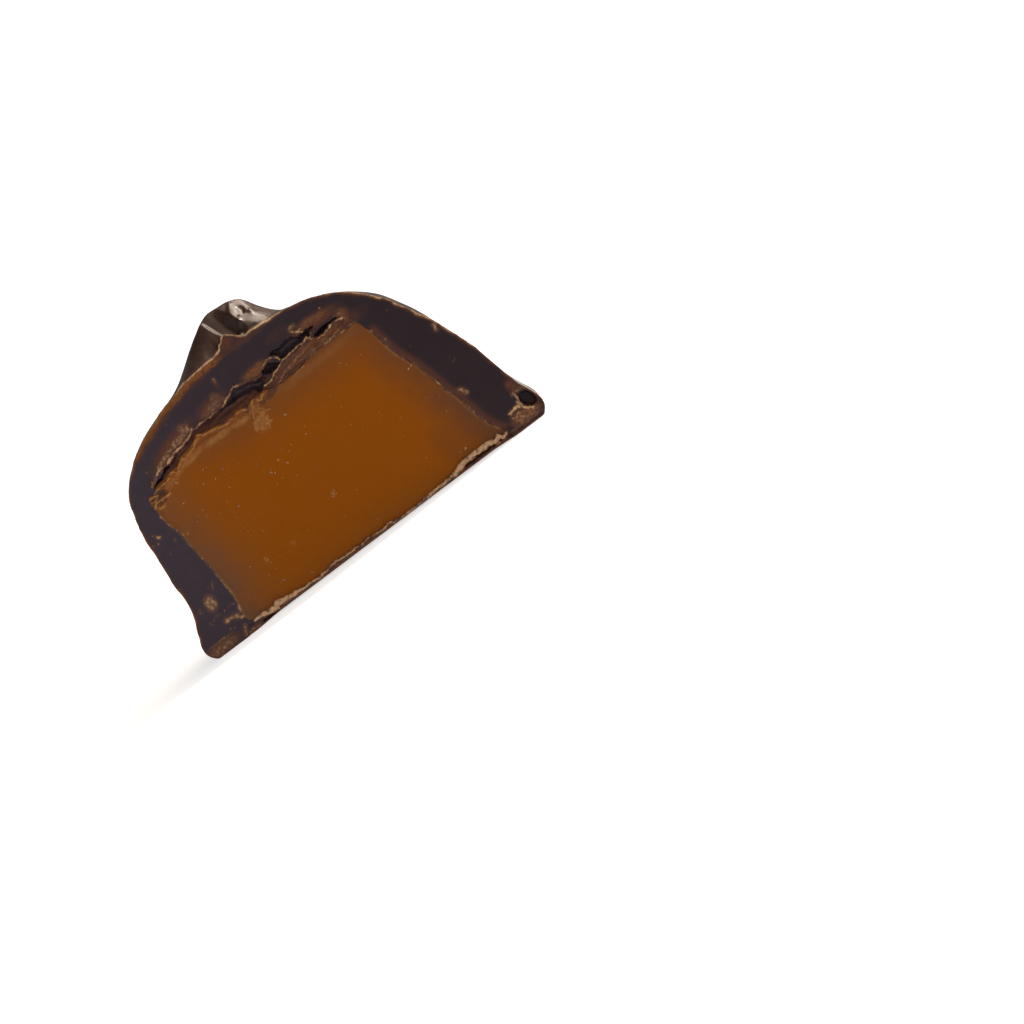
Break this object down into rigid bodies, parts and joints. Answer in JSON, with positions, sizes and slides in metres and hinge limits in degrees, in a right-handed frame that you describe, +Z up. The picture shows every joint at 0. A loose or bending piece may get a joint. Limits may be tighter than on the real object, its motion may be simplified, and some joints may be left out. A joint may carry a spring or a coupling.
{
  "type": "salted caramel candy",
  "caption": "Half of a chocolate-coated salted caramel, cut flat to show its thick dark coat and soft caramel filling, with a pulled peak on its crown.",
  "frame": {"origin": "middle of the box on the table, under the flat base", "axes": "+X along the cut face from its left foot to its right foot, -Y the way the cut face looks, +Z up to the pulled peak"},
  "size_m": [0.0322, 0.0168, 0.0211],
  "materials": {
    "dark_chocolate": "satin dark chocolate, rough and dull where it is cut",
    "salted_caramel": "dense amber caramel, cut smooth with a soft shine"
  },
  "bodies": {
    "root": {"chocolate_coat": "dark_chocolate", "caramel_filling": "salted_caramel"}
  },
  "joints": []
}
